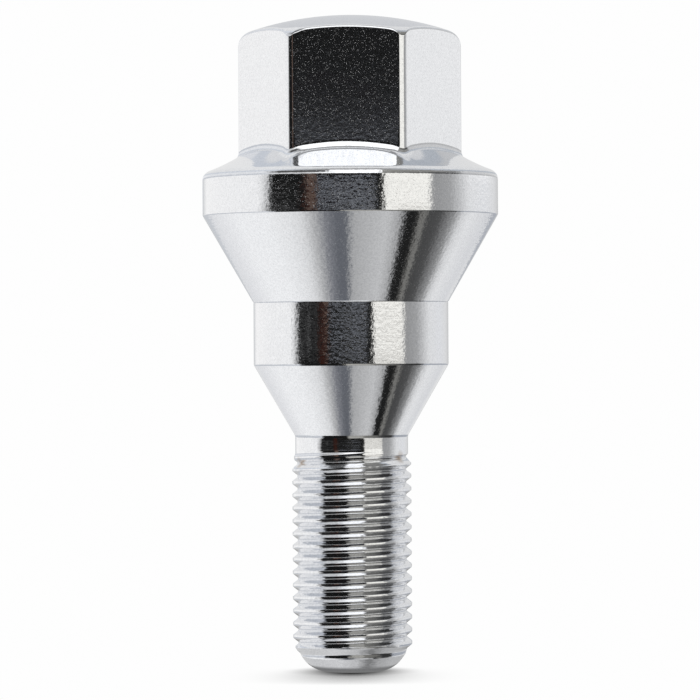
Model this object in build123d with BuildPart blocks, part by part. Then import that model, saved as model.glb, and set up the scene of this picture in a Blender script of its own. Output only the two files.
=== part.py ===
from build123d import *
import os
from math import radians, tan

# A one-piece wheel bolt, forged, turned, thread-rolled and chrome plated.
# It stands on its point: the axis is Z, the origin is the middle of the flat end of the point,
# and one flat of the hexagon faces -Y. Lengths are in millimetres and angles in degrees.

# Threaded rod: M14 x 1.5, drawn at its major diameter
THREAD_DIAMETER = 13.95
THREAD_LENGTH = 25.3  # from the end of the point to the last full crest
RUN_OUT_ANGLE = 45.0  # from the last crest in to the neck, against the axis
POINT_DIAMETER = 9.4  # flat end that the bolt stands on
POINT_ANGLE = 36.0  # chamfer of the point, against the axis

# Plain neck above the thread, at the diameter of the blank that the thread is rolled on
NECK_DIAMETER = 13.2
NECK_LENGTH = 1.9
NECK_FILLET_RADIUS = 1.5

# Stepped shank: a lead-in cone, a cylindrical spigot and the conical seat
LEAD_IN_CONE_ANGLE = 60.0  # included angle
SPIGOT_DIAMETER = 22.8
SPIGOT_LENGTH = 7.3
SEAT_CONE_ANGLE = 60.0  # included angle

# Flange over the seat: an upright rim and a top that slopes up to the head
FLANGE_DIAMETER = 34.6
RIM_HEIGHT = 4.9  # between the sharp corners of the rim
RIM_ROUNDING_RADIUS = 1.2
FLANGE_TOP_SLOPE = 19.5  # from the horizontal

# Head: a round, crowned blank with a flat on each of six sides
HEX_SIDES = 6
HEX_ACROSS_FLATS = 23.0
HEX_ACROSS_CORNERS = 26.1  # diameter of the narrow round lands between the flats
HEX_EDGE_RADIUS = 0.7  # between a flat and a land
BLANK_ALLOWANCE = 0.05  # that pressing the hexagon takes off the blank's radius at the lands
HEX_ROOT_RADIUS = 1.4  # from the flats and lands out to the flange
HEAD_HEIGHT = 18.45  # from the sharp upper corner of the rim to the top of the crown
CROWN_RADIUS = 37.0  # of the spherical top
CROWN_EDGE_RADIUS = 1.9  # from the crown over to the lands

# Radii
thread_radius = THREAD_DIAMETER / 2
point_radius = POINT_DIAMETER / 2
neck_radius = NECK_DIAMETER / 2
spigot_radius = SPIGOT_DIAMETER / 2
flange_radius = FLANGE_DIAMETER / 2
flat_distance = HEX_ACROSS_FLATS / 2
land_radius = HEX_ACROSS_CORNERS / 2

# Heights of the sharp corners, from the point up
point_top = (thread_radius - point_radius) / tan(radians(POINT_ANGLE))
neck_bottom = THREAD_LENGTH + (thread_radius - neck_radius) / tan(radians(RUN_OUT_ANGLE))
neck_top = neck_bottom + NECK_LENGTH
spigot_bottom = neck_top + (spigot_radius - neck_radius) / tan(radians(LEAD_IN_CONE_ANGLE / 2))
spigot_top = spigot_bottom + SPIGOT_LENGTH
rim_bottom = spigot_top + (flange_radius - spigot_radius) / tan(radians(SEAT_CONE_ANGLE / 2))
rim_top = rim_bottom + RIM_HEIGHT
flange_apex = rim_top + flange_radius * tan(radians(FLANGE_TOP_SLOPE))
crown_top = rim_top + HEAD_HEIGHT

# The seams of all round faces lie at +Y, in the middle of the back flat, away from its edges
turning_plane = Plane.YZ
head_plane = Plane.XY.offset(rim_top).rotated((0, 0, 90))

# Head: the round blank gets its spherical crown, and the hexagon is pressed out of it
with BuildPart() as head:
    with BuildSketch(head_plane):
        Circle(land_radius + BLANK_ALLOWANCE)
    extrude(amount=HEAD_HEIGHT)
    # The poles of the sphere lie at its sides, where the head doesn't reach
    with Locations((0, 0, crown_top - CROWN_RADIUS)):
        Sphere(CROWN_RADIUS, rotation=(90, 0, 0), mode=Mode.INTERSECT)
    fillet(head.edges().sort_by(Axis.Z)[-1], CROWN_EDGE_RADIUS)
    with BuildSketch(head_plane) as hexagon:
        RegularPolygon(flat_distance, HEX_SIDES, major_radius=False, rotation=180 / HEX_SIDES)
        Circle(land_radius, mode=Mode.INTERSECT)
        fillet(hexagon.vertices(), HEX_EDGE_RADIUS)
    extrude(amount=HEAD_HEIGHT, mode=Mode.INTERSECT)

# The bolt: all that is round about the axis is turned in one section, and the head stands on its flange
with BuildPart() as wheel_bolt:
    with BuildSketch(turning_plane) as turned_section:
        with BuildLine():
            Polyline(
                (0, 0),
                (point_radius, 0),
                (thread_radius, point_top),
                (thread_radius, THREAD_LENGTH),
                (neck_radius, neck_bottom),
                (neck_radius, neck_top),
                (spigot_radius, spigot_bottom),
                (spigot_radius, spigot_top),
                (flange_radius, rim_bottom),
                (flange_radius, rim_top),
                (0, flange_apex),
                close=True,
            )
        make_face()
        neck_corner = turned_section.vertices().sort_by_distance((neck_radius, neck_top))[0]
        fillet(neck_corner, NECK_FILLET_RADIUS)
        rim_corner = turned_section.vertices().sort_by_distance((flange_radius, rim_top))[0]
        fillet(rim_corner, RIM_ROUNDING_RADIUS)
    revolve(axis=Axis.Z)
    add(head.part)
    # The edges that joining the head has made are its root on the flange
    fillet(wheel_bolt.edges(Select.NEW), HEX_ROOT_RADIUS)

wheel_bolt.part.label = "wheel_bolt"
os.makedirs("parts", exist_ok=True)
export_step(wheel_bolt.part, "parts/wheel_bolt.step")
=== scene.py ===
from math import asin, atan2, ceil, cos, exp, hypot, pi, radians, sin, sqrt, tan

import bmesh
import bpy
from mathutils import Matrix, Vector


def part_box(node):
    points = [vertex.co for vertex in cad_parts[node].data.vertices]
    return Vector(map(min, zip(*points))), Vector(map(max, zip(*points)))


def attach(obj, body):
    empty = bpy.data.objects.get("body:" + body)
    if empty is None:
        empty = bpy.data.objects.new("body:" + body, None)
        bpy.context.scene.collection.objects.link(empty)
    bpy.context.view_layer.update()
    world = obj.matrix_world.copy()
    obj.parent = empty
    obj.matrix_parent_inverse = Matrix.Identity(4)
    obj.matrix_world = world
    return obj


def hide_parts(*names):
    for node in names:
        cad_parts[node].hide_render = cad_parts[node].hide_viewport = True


# A chrome-plated wheel bolt on a white floor, modelled in millimetres and then brought to metres
MM = 0.001
TINY = 0.001  # in millimetres: points that lie nearer than this are one
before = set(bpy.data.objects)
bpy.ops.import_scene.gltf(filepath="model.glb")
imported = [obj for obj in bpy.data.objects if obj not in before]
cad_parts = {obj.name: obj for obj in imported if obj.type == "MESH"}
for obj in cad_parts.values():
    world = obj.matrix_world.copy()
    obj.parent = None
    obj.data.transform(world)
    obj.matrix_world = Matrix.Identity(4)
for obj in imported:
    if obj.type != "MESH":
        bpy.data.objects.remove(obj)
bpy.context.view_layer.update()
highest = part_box("wheel_bolt")[1]

# Head: a crowned round blank with six flats, narrow lands between them and a root that sweeps onto the flange
HEX_SIDES = 6
FRONT_FLAT_BEARING = -90.0  # the flat that faces the camera looks along -Y
HEX_ACROSS_FLATS = 23.0
HEX_ACROSS_CORNERS = 26.1
HEX_EDGE_RADIUS = 1.3
FLAT_TOP_RADIUS = 0.42
# Under a flat the root is the start of a round. It ends at a corner, and there the flange turns up to it
FLAT_ROOT_RADIUS = 1.65
FLAT_ROOT_TURN = 33.0
FOOT_RISE = 0.5
# Under a land it sweeps right out onto the flange. A higher power keeps that closer to the land
LAND_ROOT_HEIGHT = 1.45
LAND_ROOT_WIDTH = 1.4
LAND_ROOT_POWER = 4
CROWN_RADIUS = 37.0
CROWN_EDGE_RADIUS = 1.9
# The front corners are forged fuller, past this share of the way forward
FRONT_CROWN_EDGE_RADIUS = 1.3
FRONT_SHARE = 0.3
FRONT_BLEND = 0.5
# The top of the front flat is smeared at its left end
SMEAR_BEARING = -116.5
SMEAR_WIDTH = 2.5
SMEAR_RADIUS = 0.8
# Flange
RIM_HEIGHT = 4.9
RIM_TOP_RADIUS = 1.2
RIM_LOWER_RADIUS = 0.3
FLANGE_TOP_SLOPE = 20.5
# Conical seat, spigot and lead-in cone, with a fine turned line where the seat meets the spigot
SEAT_HALF_ANGLE = 30.0
SPIGOT_DIAMETER = 22.8
SPIGOT_LENGTH = 7.3
SPIGOT_EDGE_RADIUS = 0.5
SEAT_LINE_WIDTH = 0.1
SEAT_LINE_DEPTH = 0.05
LEAD_IN_HALF_ANGLE = 30.0
# Neck, and the M14 x 1.5 thread that is rolled below it
NECK_DIAMETER = 13.2
NECK_LENGTH = 1.9
NECK_FILLET_RADIUS = 0.8
THREAD_DIAMETER = 13.95
THREAD_LENGTH = 25.3
RUN_OUT_ANGLE = 45.0
THREAD_PITCH = 1.5
THREAD_DEPTH = 0.62
THREAD_FLANK_ANGLE = 38.0  # of each flank against a plane square to the axis
CREST_RADIUS = 0.045
CREST_BULGE = 0.01  # of the narrow land along the crest
ROOT_RADIUS = 0.2
LIP_SHARE = 0.42  # how far the last crest, beside the neck, is rolled up on the left
LIP_WIDTH = 0.35
TRIM_SOFTNESS = 0.08  # where the thread is cut by the neck and by the point
LEFT_GROOVE_HEIGHT = 24.36  # the highest full groove, on the left
FADE_TURNS = 0.5  # over which that groove runs out, from the right round the back to the left
SPARE_TURNS = 2  # screwed above and below what is kept
# Point, with the lowest groove pressed into its cone from this height up
POINT_DIAMETER = 9.4
POINT_ANGLE = 36.0
POINT_EDGE_RADIUS = 3.5
TRACE_DEPTH = 0.22
TRACE_START = 1.7
TRACE_LENGTH = 0.7

# Fineness of the mesh
FLAT_COLUMNS = 16  # on half a flat
EDGE_COLUMNS = 5
LAND_COLUMNS = 2  # on half a land
CROWN_ROWS = 14
CROWN_EDGE_ROWS = 14
WALL_ROWS = 6
ROOT_ROWS = 16
SLOPE_ROWS = 8
RIM_TOP_ROWS = 10
RIM_ROWS = 4
RIM_LOWER_ROWS = 5
CONE_ROWS = 8
SPIGOT_ROWS = 5
SPIGOT_EDGE_ROWS = 6
FILLET_ROWS = 8
NECK_ROWS = 2
GROOVE_ROOT_ROWS = 5
GROOVE_CREST_ROWS = 4
POINT_EDGE_ROWS = 8
THREAD_STEPS = 144  # in a turn
SHARP_ANGLE = 24.0  # edges that turn by more are left sharp

# Radii and heights of the sharp corners, from the point up
flange_radius = highest.x / MM
crown_top = highest.z / MM
flat_distance = HEX_ACROSS_FLATS / 2
land_radius = HEX_ACROSS_CORNERS / 2
spigot_radius = SPIGOT_DIAMETER / 2
neck_radius = NECK_DIAMETER / 2
thread_radius = THREAD_DIAMETER / 2
root_radius = thread_radius - THREAD_DEPTH
point_radius = POINT_DIAMETER / 2
neck_bottom = THREAD_LENGTH + (thread_radius - neck_radius) / tan(radians(RUN_OUT_ANGLE))
neck_top = neck_bottom + NECK_LENGTH
spigot_bottom = neck_top + (spigot_radius - neck_radius) / tan(radians(LEAD_IN_HALF_ANGLE))
spigot_top = spigot_bottom + SPIGOT_LENGTH
rim_bottom = spigot_top + (flange_radius - spigot_radius) / tan(radians(SEAT_HALF_ANGLE))
rim_top = rim_bottom + RIM_HEIGHT
# The thread ends half-way up the neck, the turned body a little above, and a strip of faces joins them
thread_join = neck_bottom + NECK_LENGTH / 2
neck_join = thread_join + NECK_LENGTH / 8
# The thread also ends where the round edge of the point begins
point_join = POINT_EDGE_RADIUS * tan(radians(45 - POINT_ANGLE / 2)) * cos(radians(POINT_ANGLE))


# Sections, as pairs of radius and height

def spread(first, last, steps):
    """Evenly spaced values after the first, up to the last."""
    return [first + (last - first) * i / steps for i in range(1, steps + 1)]


def straight(start, end, steps):
    """Points of a straight line after its start, up to its end."""
    return list(zip(spread(start[0], end[0], steps), spread(start[1], end[1], steps)))


def arc(centre_r, centre_z, radius, angles):
    """Points of a round at angles that are measured up from the horizontal."""
    return [(centre_r + radius * cos(a), centre_z + radius * sin(a)) for a in angles]


def rounded_corner(before, corner, after, radius, steps):
    """A corner of a section, eased by a round that touches both of its sides."""
    (br, bz), (cr, cz), (ar, az) = before, corner, after
    to_before = hypot(br - cr, bz - cz)
    to_after = hypot(ar - cr, az - cz)
    ur, uz = (br - cr) / to_before, (bz - cz) / to_before
    vr, vz = (ar - cr) / to_after, (az - cz) / to_after
    half = 0.5 * atan2(abs(ur * vz - uz * vr), ur * vr + uz * vz)
    middle = hypot(ur + vr, uz + vz)
    reach = radius / sin(half)
    centre_r, centre_z = cr + (ur + vr) / middle * reach, cz + (uz + vz) / middle * reach
    touch = radius / tan(half)
    start = atan2(cz + uz * touch - centre_z, cr + ur * touch - centre_r)
    end = atan2(cz + vz * touch - centre_z, cr + vr * touch - centre_r)
    turn = (end - start + pi) % (2 * pi) - pi
    return arc(centre_r, centre_z, radius, [start] + spread(start, start + turn, steps))


def smooth(share):
    """A share between 0 and 1, eased at both ends."""
    share = min(1, max(0, share))
    return share * share * (3 - 2 * share)


# Head

def head_columns():
    """Bearing, reach and lean of each column of the head, round the six sides."""
    edge_x = flat_distance - HEX_EDGE_RADIUS
    edge_y = sqrt((land_radius - HEX_EDGE_RADIUS) ** 2 - edge_x**2)
    land_start = atan2(edge_y, edge_x)
    corner = pi / HEX_SIDES
    half = [(flat_distance, s, 0) for s in [0] + spread(0, edge_y, FLAT_COLUMNS)]
    for a in spread(0, land_start, EDGE_COLUMNS):
        half.append((edge_x + HEX_EDGE_RADIUS * cos(a), edge_y + HEX_EDGE_RADIUS * sin(a), a))
    for a in spread(land_start, corner, LAND_COLUMNS):
        half.append((land_radius * cos(a), land_radius * sin(a), a))
    side = [(x, -y, -a) for x, y, a in half[:0:-1]] + half[:-1]
    columns = []
    for i in range(HEX_SIDES):
        turn = radians(FRONT_FLAT_BEARING) + i * 2 * corner
        columns += [(turn + atan2(y, x), hypot(x, y), a - atan2(y, x)) for x, y, a in side]
    return columns


def crown_section(turn, reach):
    """From near the axis over the crown and its edge to the top of the wall at that bearing and reach."""
    front = smooth((-sin(turn) - FRONT_SHARE) / FRONT_BLEND)
    edge_radius = CROWN_EDGE_RADIUS + (FRONT_CROWN_EDGE_RADIUS - CROWN_EDGE_RADIUS) * front
    smear = (turn - radians(SMEAR_BEARING)) / radians(SMEAR_WIDTH)
    top_radius = FLAT_TOP_RADIUS + (SMEAR_RADIUS - FLAT_TOP_RADIUS) * exp(-smear * smear)
    ball_z = crown_top - CROWN_RADIUS
    edge_r = land_radius - edge_radius
    edge_z = ball_z + sqrt((CROWN_RADIUS - edge_radius) ** 2 - edge_r**2)
    edge_start = asin(edge_r / (CROWN_RADIUS - edge_radius))
    top_r = reach - top_radius
    top_start = asin(top_r / (CROWN_RADIUS - top_radius))
    top_z = ball_z + (CROWN_RADIUS - top_radius) * cos(top_start)
    if top_start > edge_start:
        inner = edge_radius - top_radius
        top_start = asin(min(1, (top_r - edge_r) / inner))
        top_z = edge_z + inner * cos(top_start)
    start = min(edge_start, top_start)
    points = [(CROWN_RADIUS * sin(a), ball_z + CROWN_RADIUS * cos(a)) for a in spread(0, start, CROWN_ROWS)]
    for a in spread(start, pi / 2, CROWN_EDGE_ROWS):
        if a < top_start:
            points.append((edge_r + edge_radius * sin(a), edge_z + edge_radius * cos(a)))
        else:
            points.append((top_r + top_radius * sin(a), top_z + top_radius * cos(a)))
    return points


def root_section(reach, lean):
    """From the foot of the wall out onto the slope of the flange."""
    slope = radians(FLANGE_TOP_SLOPE)
    land_share = ((reach - flat_distance) / (land_radius - flat_distance)) ** LAND_ROOT_POWER
    wide = (FLAT_ROOT_RADIUS + (LAND_ROOT_WIDTH - FLAT_ROOT_RADIUS) * land_share) / cos(lean)
    tall = FLAT_ROOT_RADIUS + (LAND_ROOT_HEIGHT - FLAT_ROOT_RADIUS) * land_share
    turn = radians(FLAT_ROOT_TURN) + (pi / 2 - slope - radians(FLAT_ROOT_TURN)) * land_share
    # The part of the oval from the upright wall to where it leans by that turn
    end = atan2(tall * sin(turn), wide * cos(turn))
    foot_r = reach + wide * (1 - cos(end))
    foot_z = rim_top + (flange_radius - foot_r) * tan(slope) + FOOT_RISE * (1 - land_share)
    centre_z = foot_z + tall * sin(end)
    angles = [0] + spread(0, end, ROOT_ROWS)
    return [(reach + wide * (1 - cos(a)), centre_z - tall * sin(a)) for a in angles]


def slope_section(foot, rim):
    """The top of the flange from the foot of the root to the rim."""
    rise = foot[1] - rim_top - (flange_radius - foot[0]) * tan(radians(FLANGE_TOP_SLOPE))
    line = straight((foot[0], foot[1] - rise), rim, SLOPE_ROWS)
    return [(r, z + rise * (1 - i / SLOPE_ROWS) ** 2) for i, (r, z) in enumerate(line, 1)]


def head_section(turn, reach, lean):
    """From near the axis over the crown, down the wall and out to the foot of the root."""
    crown = crown_section(turn, reach)
    root = root_section(reach, lean)
    wall = straight((reach, crown[-1][1]), root[0], WALL_ROWS)
    return crown + wall + root[1:]


# Flange, seat, spigot, lead-in cone and neck, all round about the axis

def turned_section():
    """From the top of the rim down to the neck."""
    slope_start = (0, rim_top + flange_radius * tan(radians(FLANGE_TOP_SLOPE)))
    rim_upper = (flange_radius, rim_top)
    rim_lower = (flange_radius, rim_bottom)
    seat_foot = (spigot_radius, spigot_top)
    spigot_foot = (spigot_radius, spigot_bottom)
    neck_corner = (neck_radius, neck_top)
    neck_end = (neck_radius, neck_join)
    half_line = SEAT_LINE_WIDTH / 2
    seat_end = (spigot_radius + half_line * tan(radians(SEAT_HALF_ANGLE)), spigot_top + half_line)
    points = rounded_corner(slope_start, rim_upper, rim_lower, RIM_TOP_RADIUS, RIM_TOP_ROWS)
    edge = rounded_corner(rim_upper, rim_lower, seat_foot, RIM_LOWER_RADIUS, RIM_LOWER_ROWS)
    points += straight(points[-1], edge[0], RIM_ROWS) + edge[1:]
    points += straight(points[-1], seat_end, CONE_ROWS)
    points += [(spigot_radius - SEAT_LINE_DEPTH, spigot_top), (spigot_radius, spigot_top - half_line)]
    edge = rounded_corner(seat_foot, spigot_foot, neck_corner, SPIGOT_EDGE_RADIUS, SPIGOT_EDGE_ROWS)
    points += straight(points[-1], edge[0], SPIGOT_ROWS) + edge[1:]
    fillet = rounded_corner(spigot_foot, neck_corner, neck_end, NECK_FILLET_RADIUS, FILLET_ROWS)
    points += straight(points[-1], fillet[0], CONE_ROWS) + fillet[1:]
    return points + straight(points[-1], neck_end, NECK_ROWS)


# Body

def bearing(vertex):
    return atan2(vertex.co.y, vertex.co.x)


def active_bmesh():
    return bmesh.from_edit_mesh(bpy.context.object.data)


def select_open_edges(wanted):
    """Selects the edges with one face whose middle is wanted, and nothing else."""
    bpy.ops.mesh.select_all(action="DESELECT")
    mesh = active_bmesh()
    for edge in mesh.edges:
        middle = (edge.verts[0].co + edge.verts[1].co) / 2
        if len(edge.link_faces) == 1 and wanted(middle):
            edge.select_set(True)
    mesh.select_flush(True)
    bmesh.update_edit_mesh(bpy.context.object.data)


def make_body():
    """The bolt from the crown to the neck: a ring of the head's columns, pulled out row by row."""
    columns = head_columns()
    turned = turned_section()
    sections = []
    for turn, reach, lean in columns:
        head = head_section(turn, reach, lean)
        sections.append(head + slope_section(head[-1], turned[0]) + turned[1:])
    turns = [column[0] for column in columns]
    order = sorted(range(len(columns)), key=lambda i: atan2(sin(turns[i]), cos(turns[i])))
    bpy.ops.mesh.primitive_circle_add(vertices=len(columns), radius=land_radius, location=(0, 0, 0))
    body = bpy.context.object
    bpy.ops.object.mode_set(mode="EDIT")
    for row in range(len(sections[0])):
        if row:
            bpy.ops.mesh.extrude_region_move()
        mesh = active_bmesh()
        ring = sorted((v for v in mesh.verts if v.select), key=bearing)
        for i, vertex in zip(order, ring):
            r, z = sections[i][row]
            vertex.co = (r * cos(turns[i]), r * sin(turns[i]), z)
        bmesh.update_edit_mesh(body.data)
    # The open ring at the top is drawn together into the middle of the crown
    select_open_edges(lambda middle: middle.z > rim_top)
    bpy.ops.mesh.extrude_region_move()
    bpy.ops.mesh.merge(type="CENTER")
    mesh = active_bmesh()
    for vertex in mesh.verts:
        if vertex.select:
            vertex.co = (0, 0, crown_top)
    bmesh.update_edit_mesh(body.data)
    bpy.ops.object.mode_set(mode="OBJECT")
    return body


# Thread

def thread_groove():
    """One groove of the thread, from the middle of a crest down to the root and up to the next."""
    flank = radians(THREAD_FLANK_ANGLE)
    root_r = root_radius + ROOT_RADIUS
    crest_r = thread_radius - CREST_BULGE - CREST_RADIUS
    top = pi / 2 - flank
    flank_height = (crest_r + CREST_RADIUS * sin(flank)) - (root_r - ROOT_RADIUS * sin(flank))
    crest_z = ROOT_RADIUS * cos(flank) + flank_height * tan(flank) + CREST_RADIUS * cos(flank)
    root_angles = [0] + spread(0, top, GROOVE_ROOT_ROWS)
    half = [(root_r - ROOT_RADIUS * cos(a), ROOT_RADIUS * sin(a)) for a in root_angles]
    crest = arc(crest_r, crest_z, CREST_RADIUS, [-top] + spread(-top, 0, GROOVE_CREST_ROWS))
    middle = ((half[-1][0] + crest[0][0]) / 2, (half[-1][1] + crest[0][1]) / 2)
    half += [middle] + crest + [(thread_radius, THREAD_PITCH / 2)]
    return [(r, -z) for r, z in half[:0:-1]] + half


def groove_share(turns):
    """How far the groove is rolled in at a place along it, counted in turns from the last full one."""
    return smooth(1 - turns / FADE_TURNS)


def crest_share(turns):
    """How far the crest above the groove there is rolled up. It runs out from the left to the right."""
    lip = LIP_SHARE * smooth(-turns / FADE_TURNS)
    return lip + (1 - lip) * groove_share(turns + 1)


def soft_lesser(a, b):
    """The lesser of two radii, with the corner between them eased."""
    overlap = max(0, 1 - abs(a - b) / TRIM_SOFTNESS)
    return min(a, b) - overlap**2 * TRIM_SOFTNESS / 4


def thread_form(vertex):
    """Runs the thread out into the neck at its top and cuts it to the cone of the point."""
    # The left side lies half a turn from where bearings are counted from
    turn = bearing(vertex) / (2 * pi)
    along = (vertex.co.z - LEFT_GROOVE_HEIGHT) / THREAD_PITCH - turn + 0.5
    groove = round(along)
    across = 2 * (along - groove)
    # Turns past the right-hand side, where the highest full groove ends
    place = groove + turn - 1
    lower, upper = crest_share(place - 1), crest_share(place)
    rolled_up = lower + (upper - lower) * smooth((across + 1) / 2 * THREAD_PITCH / LIP_WIDTH)
    r = hypot(vertex.co.x, vertex.co.y)
    formed = r + (1 - groove_share(place)) * (neck_radius - root_radius + 2 * TRIM_SOFTNESS)
    if rolled_up < 1:
        formed = soft_lesser(formed, neck_radius + (thread_radius - neck_radius) * rolled_up)
    cone = point_radius + vertex.co.z * tan(radians(POINT_ANGLE))
    if cone < thread_radius + TRIM_SOFTNESS:
        trace = (thread_radius - r) / THREAD_DEPTH * smooth((vertex.co.z - TRACE_START) / TRACE_LENGTH)
        formed = soft_lesser(formed, cone - TRACE_DEPTH * trace)
    vertex.co.x *= formed / r
    vertex.co.y *= formed / r


def make_thread():
    """The groove's section is drawn as a line of points, screwed round the axis and trimmed at both ends."""
    groove = thread_groove()
    turns = ceil(thread_join / THREAD_PITCH)
    start_z = LEFT_GROOVE_HEIGHT + THREAD_PITCH / 2 - turns * THREAD_PITCH
    bpy.ops.mesh.primitive_plane_add(size=THREAD_PITCH, location=(0, 0, 0))
    thread = bpy.context.object
    bpy.ops.object.mode_set(mode="EDIT")
    bpy.ops.mesh.merge(type="CENTER")
    bpy.ops.transform.translate(value=(groove[0][0], 0, start_z + groove[0][1]))
    for before, after in zip(groove, groove[1:]):
        step = (after[0] - before[0], 0, after[1] - before[1])
        bpy.ops.mesh.extrude_vertices_move(TRANSFORM_OT_translate={"value": step})
    bpy.ops.object.mode_set(mode="OBJECT")
    screw = thread.modifiers.new("Screw", "SCREW")
    screw.axis = "Z"
    screw.angle = 2 * pi
    screw.screw_offset = THREAD_PITCH
    screw.iterations = turns + SPARE_TURNS
    screw.steps = THREAD_STEPS
    screw.render_steps = THREAD_STEPS
    bpy.ops.object.modifier_apply(modifier="Screw")
    bpy.ops.object.mode_set(mode="EDIT")
    bpy.ops.mesh.select_all(action="SELECT")
    bpy.ops.mesh.remove_doubles(threshold=TINY)
    mesh = active_bmesh()
    for vertex in mesh.verts:
        thread_form(vertex)
    bmesh.update_edit_mesh(thread.data)
    for height, cut in ((thread_join, "clear_outer"), (point_join, "clear_inner")):
        bpy.ops.mesh.select_all(action="SELECT")
        trim = {"plane_co": (0, 0, height), "plane_no": (0, 0, 1), "threshold": TINY / 100, cut: True}
        bpy.ops.mesh.bisect(**trim)
    bpy.ops.object.mode_set(mode="OBJECT")
    return thread


# The whole bolt

def close_point():
    """Closes the open lower end of the thread: a round edge, then the flat end in two steps."""
    select_open_edges(lambda middle: middle.z < point_join + TINY)
    start = (point_radius + point_join * tan(radians(POINT_ANGLE)), point_join)
    rim = rounded_corner(start, (point_radius, 0), (0, 0), POINT_EDGE_RADIUS, POINT_EDGE_ROWS)
    for before, after in zip([start] + rim, rim + [(point_radius / 2, 0)]):
        bpy.ops.mesh.extrude_region_move(TRANSFORM_OT_translate={"value": (0, 0, after[1] - before[1])})
        ratio = after[0] / before[0]
        bpy.ops.transform.resize(value=(ratio, ratio, 1), center_override=(0, 0, after[1]))
    bpy.ops.mesh.extrude_region_move()
    bpy.ops.mesh.merge(type="CENTER")


def make_bolt():
    bpy.ops.object.select_all(action="DESELECT")
    thread = make_thread()
    bpy.ops.object.select_all(action="DESELECT")
    body = make_body()
    thread.select_set(True)
    bpy.ops.object.join()
    body.name = "chrome_bolt"
    bpy.ops.object.mode_set(mode="EDIT")
    select_open_edges(lambda middle: middle.z > thread_join - TINY)
    bpy.ops.mesh.bridge_edge_loops()
    close_point()
    bpy.ops.mesh.select_all(action="SELECT")
    bpy.ops.mesh.remove_doubles(threshold=TINY)
    bpy.ops.mesh.normals_make_consistent(inside=False)
    bpy.ops.object.mode_set(mode="OBJECT")
    body.scale = (MM, MM, MM)
    bpy.ops.object.transform_apply(location=True, rotation=True, scale=True)
    bpy.ops.object.shade_smooth_by_angle(angle=radians(SHARP_ANGLE))
    even = body.modifiers.new("Weighted Normal", "WEIGHTED_NORMAL")
    even.keep_sharp = True
    bpy.ops.object.modifier_apply(modifier=even.name)
    return body


# Shader nodes

def grey(level):
    return (level, level, level)


def node(tree, kind, **values):
    """Adds a shader node and sets its inputs by name and its settings by attribute."""
    made = tree.nodes.new(kind)
    for name, value in values.items():
        if hasattr(made, name):
            setattr(made, name, value)
        else:
            made.inputs[name.replace("_", " ")].default_value = value
    return made


def feed(tree, sockets, terms):
    """Gives each socket another one to follow or a plain value."""
    for socket, term in zip(sockets, terms):
        if isinstance(term, bpy.types.NodeSocket):
            tree.links.new(term, socket)
        else:
            socket.default_value = term


def calc(tree, operation, *terms):
    """The result of a Math node on sockets and plain numbers."""
    made = node(tree, "ShaderNodeMath", operation=operation)
    feed(tree, made.inputs, terms)
    return made.outputs[0]


def vector(tree, operation, *terms):
    """A Vector Math node on sockets and plain vectors."""
    made = node(tree, "ShaderNodeVectorMath", operation=operation)
    feed(tree, made.inputs, terms)
    return made


MIX_COLOURS = slice(6, 8)  # the places of a Mix node's two colours and of the mixed one
MIX_RESULT = 2


def mixed(tree, share, first, second):
    """A colour between two colours."""
    made = node(tree, "ShaderNodeMix", data_type="RGBA")
    tree.links.new(share, made.inputs["Factor"])
    feed(tree, made.inputs[MIX_COLOURS], (first, second))
    return made.outputs[MIX_RESULT]


def mapped(tree, value, **limits):
    """A value that is brought from one range to another."""
    made = node(tree, "ShaderNodeMapRange", **limits)
    tree.links.new(value, made.inputs["Value"])
    return made.outputs["Result"]


def ramp(tree, share, stops):
    """Colours that blend from stop to stop along a share between 0 and 1."""
    made = node(tree, "ShaderNodeValToRGB")
    elements = made.color_ramp.elements
    while len(elements) < len(stops):
        elements.new(0.5)
    for element, (position, colour) in zip(elements, stops):
        element.position = position
        element.color = (*colour, 1)
    tree.links.new(share, made.inputs["Fac"])
    return made.outputs["Color"]


def axes_of(tree, place):
    made = node(tree, "ShaderNodeSeparateXYZ")
    tree.links.new(place, made.inputs["Vector"])
    return made.outputs


def stretched(tree, place, stretch):
    made = node(tree, "ShaderNodeMapping", Scale=stretch)
    tree.links.new(place, made.inputs["Vector"])
    return made.outputs["Vector"]


def grain(tree, place, scale, detail):
    made = node(tree, "ShaderNodeTexNoise", Scale=scale, Detail=detail)
    tree.links.new(place, made.inputs["Vector"])
    return made.outputs["Fac"]


# Chrome. Depths and reaches of the marks in the plating are in millimetres
ROUGHNESS = 0.06
DULL_PLATING = (0.77, 0.78, 0.80, 1)
BRIGHT_PLATING = (0.90, 0.91, 0.93, 1)
MOTTLE_PER_MM = 5.0
MOTTLE_DETAIL = 4.0
MOTTLE_RANGE = (0.35, 0.65)
PITS_PER_MM = 9.5
PIT_REACH = 0.3
PIT_RARITY = 5.0
PEEL_PER_MM = 2.4
PEEL_DETAIL = 2.0
LINE_STRETCH = (0.3, 0.3, 5.0)
LINE_DETAIL = 3.0
STREAK_STRETCH = (1.5, 1.5, 12.0)
STREAK_DETAIL = 2.0
# Two small stains in the first groove, each given by its middle
STAINS = [(5.5, -3.0, 25.0), (-5.7, -2.7, 24.4)]
STAIN_REACH = 1.0
STAIN_COLOUR = (0.36, 0.27, 0.19, 1)

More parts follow.
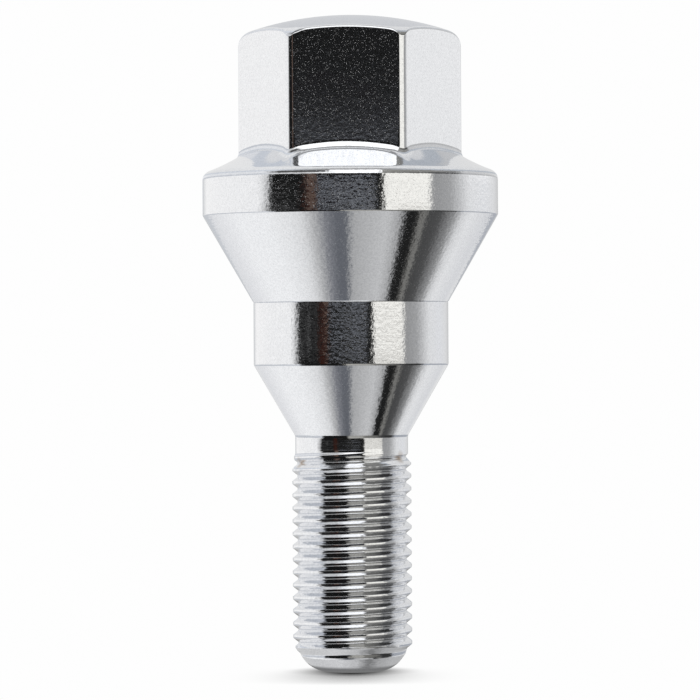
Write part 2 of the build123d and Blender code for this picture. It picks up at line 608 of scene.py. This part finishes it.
# The marks change with the height above the point, over blends of these lengths
SHORT_BLEND = 0.2
NECK_BLEND = 0.3
LONG_BLEND = 0.5
FLANGE_BLEND = 1.0
SPIGOT_PITS = 0.006
FORGED_PITS = 0.018
PIT_DEPTH = [
    (0, 0), (neck_top, 0), (spigot_bottom, SPIGOT_PITS), (rim_bottom - SHORT_BLEND, SPIGOT_PITS),
    (rim_bottom + SHORT_BLEND, FORGED_PITS), (crown_top, FORGED_PITS),
]
SMOOTH_PEEL = 0.002  # on the thread and the head
NECK_PEEL = 0.005
CONE_PEEL = 0.011
SPIGOT_PEEL = 0.015
RIM_PEEL = 0.012
PEEL_DEPTH = [
    (0, SMOOTH_PEEL), (neck_bottom, SMOOTH_PEEL), (neck_top, NECK_PEEL), (neck_top + LONG_BLEND, CONE_PEEL),
    (spigot_bottom - SHORT_BLEND, CONE_PEEL), (spigot_bottom + SHORT_BLEND, SPIGOT_PEEL),
    (spigot_top - SHORT_BLEND, SPIGOT_PEEL), (spigot_top + SHORT_BLEND, CONE_PEEL), (rim_bottom, CONE_PEEL),
    (rim_bottom + LONG_BLEND, RIM_PEEL), (rim_top, RIM_PEEL), (rim_top + 2 * FLANGE_BLEND, SMOOTH_PEEL),
    (crown_top, SMOOTH_PEEL),
]
THREAD_LINES = 0.001
NECK_LINES = 0.005
CONE_LINES = 0.004
RIM_LINES = 0.002
LINE_DEPTH = [
    (0, THREAD_LINES), (neck_bottom - NECK_BLEND, THREAD_LINES), (neck_bottom + NECK_BLEND, NECK_LINES),
    (neck_top, NECK_LINES), (neck_top + LONG_BLEND, CONE_LINES), (rim_bottom, CONE_LINES),
    (rim_top, RIM_LINES), (rim_top + FLANGE_BLEND, 0), (crown_top, 0),
]
# How far streaks along the rolled and turned surfaces lean them aside, in radians
ROLLED_LEAN = 0.34
TURNED_LEAN = 0.06
STREAK_LEAN = [
    (0, ROLLED_LEAN), (neck_bottom - NECK_BLEND, ROLLED_LEAN), (neck_bottom + NECK_BLEND, TURNED_LEAN),
    (neck_top, TURNED_LEAN), (rim_top, TURNED_LEAN), (rim_top + FLANGE_BLEND, 0), (crown_top, 0),
]


def by_height(tree, height, stops):
    """A value that changes with the height above the point."""
    shares = [(z / crown_top, grey(value)) for z, value in stops]
    return ramp(tree, calc(tree, "DIVIDE", height, crown_top), shares)


def pits(tree, place, height):
    """Depths of the pits in the forged skin, some deeper than others."""
    cells = node(tree, "ShaderNodeTexVoronoi", Scale=PITS_PER_MM)
    tree.links.new(place, cells.inputs["Vector"])
    limits = {"From_Max": PIT_REACH, "To_Min": -1.0, "To_Max": 0.0}
    pit = mapped(tree, cells.outputs["Distance"], interpolation_type="SMOOTHSTEP", **limits)
    chance = node(tree, "ShaderNodeSeparateColor")
    tree.links.new(cells.outputs["Color"], chance.inputs["Color"])
    few = calc(tree, "POWER", chance.outputs["Red"], PIT_RARITY)
    return calc(tree, "MULTIPLY", pit, calc(tree, "MULTIPLY", by_height(tree, height, PIT_DEPTH), few))


def peel(tree, place, height):
    """Slight waves of the plating."""
    waves = grain(tree, place, PEEL_PER_MM, PEEL_DETAIL)
    return calc(tree, "MULTIPLY", waves, by_height(tree, height, PEEL_DEPTH))


def tool_lines(tree, place, height):
    """Lines that turning and rolling leave round the shank."""
    lines = grain(tree, stretched(tree, place, LINE_STRETCH), 1.0, LINE_DETAIL)
    return calc(tree, "MULTIPLY", lines, by_height(tree, height, LINE_DEPTH))


def streaked(tree, place, height, normal):
    """The normal, leaned round the axis, now one way and now the other, along streaks."""
    streaks = grain(tree, stretched(tree, place, STREAK_STRETCH), 1.0, STREAK_DETAIL)
    either_way = calc(tree, "SUBTRACT", streaks, 0.5)
    amount = calc(tree, "MULTIPLY", either_way, by_height(tree, height, STREAK_LEAN))
    shape = node(tree, "ShaderNodeNewGeometry")
    round_axis = vector(tree, "CROSS_PRODUCT", (0, 0, 1), shape.outputs["Normal"])
    aside = vector(tree, "SCALE", round_axis.outputs["Vector"])
    tree.links.new(amount, aside.inputs["Scale"])
    total = vector(tree, "ADD", normal, aside.outputs["Vector"])
    return vector(tree, "NORMALIZE", total.outputs["Vector"]).outputs["Vector"]


def stained(tree, place, colour, spot):
    """The colour with a soft brown stain round one spot."""
    away = vector(tree, "DISTANCE", place, spot)
    near = mapped(tree, away.outputs["Value"], From_Min=STAIN_REACH, From_Max=0.0)
    return mixed(tree, near, colour, STAIN_COLOUR)


def plating_colour(tree, place):
    """Slightly mottled, with the stains."""
    low, high = MOTTLE_RANGE
    spots = mapped(tree, grain(tree, place, MOTTLE_PER_MM, MOTTLE_DETAIL), From_Min=low, From_Max=high)
    colour = mixed(tree, spots, DULL_PLATING, BRIGHT_PLATING)
    for spot in STAINS:
        colour = stained(tree, place, colour, spot)
    return colour


def chrome():
    material = bpy.data.materials.new("chrome")
    material.use_nodes = True
    tree = material.node_tree
    shader = tree.nodes["Principled BSDF"]
    shader.inputs["Metallic"].default_value = 1.0
    shader.inputs["Roughness"].default_value = ROUGHNESS
    where = node(tree, "ShaderNodeTexCoord")
    place = stretched(tree, where.outputs["Object"], (1 / MM, 1 / MM, 1 / MM))
    height = axes_of(tree, place)["Z"]
    uneven = calc(tree, "ADD", pits(tree, place, height), peel(tree, place, height))
    bump = node(tree, "ShaderNodeBump", Distance=MM)
    tree.links.new(calc(tree, "ADD", uneven, tool_lines(tree, place, height)), bump.inputs["Height"])
    tree.links.new(streaked(tree, place, height, bump.outputs["Normal"]), shader.inputs["Normal"])
    tree.links.new(plating_colour(tree, place), shader.inputs["Base Color"])
    return material


# Camera, at the photograph's place. Lengths of the camera and the floor are in metres
CAMERA_BEARING = 2.15
CAMERA_DISTANCE = 0.527
CAMERA_HEIGHT = 0.0376
CAMERA_ROLL = 0.33
CAMERA_LENS = 231.4
CAMERA_SHIFT = -0.0016


def make_camera():
    data = bpy.data.cameras.new("camera")
    data.lens = CAMERA_LENS
    data.shift_x = CAMERA_SHIFT
    camera = bpy.data.objects.new("camera", data)
    turn = radians(CAMERA_BEARING)
    camera.location = (CAMERA_DISTANCE * sin(turn), -CAMERA_DISTANCE * cos(turn), CAMERA_HEIGHT)
    camera.rotation_euler = (pi / 2, radians(CAMERA_ROLL), turn)
    bpy.context.scene.collection.objects.link(camera)
    bpy.context.scene.camera = camera


# The studio that the chrome shows, in tiers from the floor under the bolt up over the walls and the ceiling.
# A tier is a row of panels from left to right. A stop's angle is twice the bearing, seen from the camera,
# of the upright mirror that would show that place to the camera.
PAPER_WHITE = (0.99, 0.99, 0.99, 1)
WHITE = (1.02, 1.01, 1.0)
BLACK = (0.010, 0.010, 0.010)
EDGE = (0.45, 0.46, 0.48)
BLUE = (0.21, 0.22, 0.245)
DIM_BLUE = (0.085, 0.088, 0.096)
CREAM = (1.03, 1.01, 0.95)
NECK_CREAM = (0.82, 0.8, 0.75)
KERB_CREAM = (0.5, 0.49, 0.46)
DULL_CREAM = (0.4, 0.39, 0.36)
LOW_CREAM = (0.36, 0.355, 0.335)
PALE_GREY = (0.98, 0.975, 0.97)
FAR_GREY = (0.66, 0.67, 0.69)
PALE_BLUE = (0.86, 0.87, 0.89)
STEEL_BLUE = (0.52, 0.55, 0.59)
BROWN = (0.12, 0.085, 0.07)
DARK_BROWN = (0.035, 0.011, 0.007)
# Shown by undersides, and by the cone of the point
UNDER = [(-180, grey(0.2)), (180, grey(0.2))]
FOOT = [
    (-180, grey(0.6)), (-140, grey(0.66)), (-90, grey(0.64)), (-30, grey(0.7)), (-8, grey(0.62)),
    (12, grey(0.55)), (28, grey(0.34)), (40, grey(0.2)), (50, grey(0.32)), (70, grey(0.44)),
    (110, grey(0.52)), (180, grey(0.5)),
]
# Shown by the seat and the lead-in cone
FLOOR = [
    (-180, grey(0.8)), (-150, (0.8, 0.805, 0.82)), (-130, (0.87, 0.87, 0.88)), (-100, grey(0.99)),
    (-70, grey(0.98)), (-50, grey(0.88)), (-40, grey(0.78)), (-30, grey(0.5)), (-20, (0.23, 0.235, 0.255)),
    (-11, (0.135, 0.142, 0.16)), (-4, (0.14, 0.147, 0.165)), (2, grey(0.44)), (30, grey(0.6)),
    (40, grey(0.42)), (45, grey(0.015)), (54, grey(0.015)), (60, (0.24, 0.235, 0.22)), (65, grey(0.065)),
    (76, grey(0.085)), (90, grey(0.3)), (100, grey(0.74)), (110, grey(0.86)), (140, (0.75, 0.755, 0.77)),
    (160, grey(0.82)), (180, grey(0.7)),
]
# Shown by the roots of the thread and by its flanks that face up
SWEEP_RIGHT = [
    (27, (0.21, 0.205, 0.19)), (48, (0.16, 0.157, 0.147)), (64, grey(0.06)), (72, grey(0.035)),
    (90, grey(0.04)), (99, (0.4, 0.42, 0.46)), (180, (0.46, 0.48, 0.52)),
]
LOW_SWEEP = [
    (-180, (0.6, 0.62, 0.65)), (-66, (0.66, 0.68, 0.715)), (-58, BLACK), (-10, BLACK), (-4, LOW_CREAM),
    (22, LOW_CREAM),
] + SWEEP_RIGHT
SWEEP = [
    (-180, (0.6, 0.62, 0.65)), (-66, (0.62, 0.64, 0.68)), (-58, BLACK), (-10, BLACK), (-4, DULL_CREAM),
    (22, DULL_CREAM),
] + SWEEP_RIGHT
# Shown by the lower half of each crest
KERB = [
    (-180, EDGE), (-150, WHITE), (-66, WHITE), (-60, BLACK), (-9, BLACK), (-4, KERB_CREAM), (22, KERB_CREAM),
    (28, (0.3, 0.295, 0.28)), (60, grey(0.18)), (84, grey(0.12)), (100, grey(0.7)), (160, grey(0.8)),
    (180, EDGE),
]
# The walls, shown by the neck and its fine lines, the spigot, the rim of the flange and the head's flats
LEFT_WALL = [(-180, EDGE), (-164, (0.7, 0.71, 0.72)), (-150, WHITE), (-76, PALE_GREY)]
RIGHT_WALL = [(27, CREAM), (64, CREAM), (67, grey(0.33)), (84, grey(0.4))]
LOWER_RIGHT_END = [
    (106, grey(0.82)), (130, (0.82, 0.825, 0.84)), (150, grey(0.78)), (166, grey(0.62)), (180, EDGE),
]
HIGH_RIGHT_END = [
    (106, grey(0.9)), (130, PALE_GREY), (145, grey(0.86)), (164, (0.62, 0.63, 0.64)), (180, EDGE),
]
NECK_WALL = LEFT_WALL + [
    (-68, grey(0.5)), (-64, BLACK), (-38, BLACK), (-36, DARK_BROWN), (-31, DARK_BROWN), (-29, BLACK),
    (25, BLACK), (27, NECK_CREAM), (64, NECK_CREAM), (67, grey(0.33)), (84, grey(0.4)),
] + LOWER_RIGHT_END
GAP_WALL = LEFT_WALL + [
    (-68, grey(0.4)), (-64, grey(0.04)), (25, grey(0.04)), (27, DULL_CREAM), (64, DULL_CREAM),
    (67, grey(0.3)), (84, grey(0.4)),
] + LOWER_RIGHT_END
LOW_WALL = LEFT_WALL + [
    (-68, grey(0.5)), (-64, BLACK), (-60, grey(0.09)), (-56, grey(0.03)), (-51, grey(0.12)),
    (-46, grey(0.02)), (-41, grey(0.07)), (-38, DARK_BROWN), (-28, DARK_BROWN), (-25, BLACK),
    (-15, grey(0.02)), (-1, grey(0.05)), (1, DIM_BLUE), (16, DIM_BLUE), (19, BLACK), (25, BLACK),
] + RIGHT_WALL + LOWER_RIGHT_END
MID_WALL = LEFT_WALL + [
    (-68, grey(0.6)), (-64, BLACK), (-34, BLACK), (-32, BROWN), (-27, BROWN), (-25, BLUE), (18, BLUE),
    (21, BLACK), (25, BLACK),
] + RIGHT_WALL + LOWER_RIGHT_END
HIGH_WALL = LEFT_WALL + [
    (-68, grey(0.7)), (-64, BLACK), (-36, BLACK), (-34, BROWN), (-28, BROWN), (-26, BLACK), (25, BLACK),
] + RIGHT_WALL + HIGH_RIGHT_END
# Shown by the flanks of the thread that face down
GLOW = [
    (-180, (0.6, 0.62, 0.66)), (-72, (0.66, 0.68, 0.72)), (-60, grey(0.75)), (-34, grey(0.7)),
    (-8, grey(1.4)), (21, grey(1.4)), (27, (0.2, 0.196, 0.184)), (56, (0.15, 0.148, 0.14)),
    (68, grey(0.09)), (91, grey(0.1)), (100, grey(0.5)), (180, grey(0.6)),
]
# Shown by the top of the flange, from its front to its sides
SKY = [
    (-180, PALE_BLUE), (-70, PALE_BLUE), (-58, grey(0.1)), (-20, grey(0.1)), (-13, grey(1.4)),
    (21, grey(1.4)), (27, (0.31, 0.305, 0.285)), (68, (0.26, 0.256, 0.245)), (91, grey(0.28)),
    (100, grey(0.62)), (180, grey(0.78)),
]
CEILING = [
    (-180, (0.66, 0.69, 0.74)), (-60, (0.72, 0.75, 0.8)), (-20, grey(0.35)), (25, grey(0.35)),
    (60, STEEL_BLUE), (180, STEEL_BLUE),
]
FAR_CEILING = [(-180, grey(0.82)), (-60, grey(0.88)), (0, grey(0.8)), (60, grey(0.82)), (180, grey(0.76))]
# Shown by the crown
BEHIND = [(-180, FAR_GREY), (180, FAR_GREY)]
# Each tier above the first, with the angles between which it takes over from the one below. A lean is twice
# the angle by which the mirror leans back, and a rise is the angle of the place itself above the horizon.
TIERS = [
    (FOOT, "lean", -125, -100),
    (FLOOR, "lean", -70, -65),
    (LOW_SWEEP, "lean", -51.5, -50),
    (SWEEP, "lean", -36, -28),
    (KERB, "lean", -13, -11),
    (NECK_WALL, "rise", -4.6, -4.2),
    (GAP_WALL, "rise", -1.0, -0.9),
    (LOW_WALL, "rise", -0.5, -0.4),
    (MID_WALL, "rise", 0.8, 1.3),
    (HIGH_WALL, "rise", 2.3, 2.45),
    (GLOW, "lean", 19, 22),
    (SKY, "lean", 33, 37),
    (CEILING, "lean", 57, 61),
    (FAR_CEILING, "lean", 74, 79),
    (BEHIND, "lean", 138, 142),
]


def panels(tree, across, stops):
    """The colours of one tier from left to right."""
    return ramp(tree, across, [((angle + 180) / 360, colour) for angle, colour in stops])


def studio_colour(tree):
    place = node(tree, "ShaderNodeTexCoord")
    turned = node(tree, "ShaderNodeMapping", vector_type="POINT", Rotation=(0, 0, -radians(CAMERA_BEARING)))
    tree.links.new(place.outputs["Generated"], turned.inputs["Vector"])
    towards = turned.outputs["Vector"]
    # The mirror that shows a place to the camera faces half-way between the place and the camera
    between = vector(tree, "ADD", towards, (0, -1, 0))
    mirror = axes_of(tree, vector(tree, "NORMALIZE", between.outputs["Vector"]).outputs["Vector"])
    aside = calc(tree, "ARCTAN2", mirror["X"], calc(tree, "MULTIPLY", mirror["Y"], -1.0))
    across = mapped(tree, aside, From_Min=-pi / 2, From_Max=pi / 2)
    measures = {"lean": (mirror["Z"], 2), "rise": (axes_of(tree, towards)["Z"], 1)}
    colour = panels(tree, across, UNDER)
    for stops, measure, low, high in TIERS:
        height, times = measures[measure]
        limits = {"From_Min": sin(radians(low / times)), "From_Max": sin(radians(high / times))}
        above = mapped(tree, height, interpolation_type="SMOOTHSTEP", **limits)
        colour = mixed(tree, above, colour, panels(tree, across, stops))
    return colour


def make_world():
    """The camera sees plain white, and the chrome sees the studio."""
    world = bpy.data.worlds.new("studio")
    bpy.context.scene.world = world
    world.use_nodes = True
    tree = world.node_tree
    tree.nodes.clear()
    link = tree.links.new
    studio = node(tree, "ShaderNodeBackground")
    link(studio_colour(tree), studio.inputs["Color"])
    white = node(tree, "ShaderNodeBackground", Color=PAPER_WHITE)
    path = node(tree, "ShaderNodeLightPath")
    seen = node(tree, "ShaderNodeMixShader")
    link(path.outputs["Is Camera Ray"], seen.inputs[0])
    link(studio.outputs[0], seen.inputs[1])
    link(white.outputs[0], seen.inputs[2])
    out = node(tree, "ShaderNodeOutputWorld")
    link(seen.outputs[0], out.inputs["Surface"])


# Floor, white but for a painted shadow. The reaches and the width are in metres
FLOOR_RADIUS = 0.4
FLOOR_SIDES = 96
CONTACT_REACH = 0.003
CONTACT_DEPTH = 0.7
SHADOW_REACH = 0.016
SHADOW_DEPTH = 1.9
SHADOW_LEAN = 82.0
SHADOW_WIDTH = 0.0072
SHADOW_SAMPLES = 16


def painted_shadow_strength(tree):
    """How much of the floor's white is left at a place, from 0 to 1: a painted shadow, made from ambient
    occlusion round the bolt.
    """
    contact = node(tree, "ShaderNodeAmbientOcclusion", Distance=CONTACT_REACH, samples=SHADOW_SAMPLES)
    shadow = node(tree, "ShaderNodeAmbientOcclusion", Distance=SHADOW_REACH, samples=SHADOW_SAMPLES)
    # The occlusion is gathered round a normal leaned back, as if light came from above and behind, so the
    # painted shadow lies in front
    lean = node(tree, "ShaderNodeCombineXYZ", Y=sin(radians(SHADOW_LEAN)), Z=cos(radians(SHADOW_LEAN)))
    tree.links.new(lean.outputs["Vector"], shadow.inputs["Normal"])
    close = calc(tree, "POWER", contact.outputs["AO"], CONTACT_DEPTH)
    light = calc(tree, "MULTIPLY", close, calc(tree, "POWER", shadow.outputs["AO"], SHADOW_DEPTH))
    # A painted narrowing: the shadow fades out with the distance across, as if soft light came from both
    # sides
    place = node(tree, "ShaderNodeTexCoord")
    across = axes_of(tree, place.outputs["Object"])["X"]
    aside = calc(tree, "POWER", calc(tree, "DIVIDE", across, SHADOW_WIDTH), 2.0)
    share = calc(tree, "EXPONENT", calc(tree, "MULTIPLY", aside, -1.0))
    return calc(tree, "SUBTRACT", 1.0, calc(tree, "MULTIPLY", share, calc(tree, "SUBTRACT", 1.0, light)))


def white_floor():
    material = bpy.data.materials.new("white floor")
    material.use_nodes = True
    tree = material.node_tree
    tree.nodes.clear()
    white = node(tree, "ShaderNodeEmission", Color=PAPER_WHITE)
    # The strength of the white carries the painted shadow
    tree.links.new(painted_shadow_strength(tree), white.inputs["Strength"])
    out = node(tree, "ShaderNodeOutputMaterial")
    tree.links.new(white.outputs[0], out.inputs["Surface"])
    return material


def make_floor():
    bpy.ops.object.select_all(action="DESELECT")
    circle = {"vertices": FLOOR_SIDES, "radius": FLOOR_RADIUS, "fill_type": "NGON"}
    bpy.ops.mesh.primitive_circle_add(location=(0, 0, 0), **circle)
    floor = bpy.context.object
    floor.name = "floor"
    floor.visible_glossy = False
    floor.data.materials.append(white_floor())


bolt = make_bolt()
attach(bolt, "root")
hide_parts("wheel_bolt")
bolt.data.materials.clear()
bolt.data.materials.append(chrome())
make_camera()
make_world()
make_floor()
bpy.context.scene.view_settings.view_transform = "Standard"
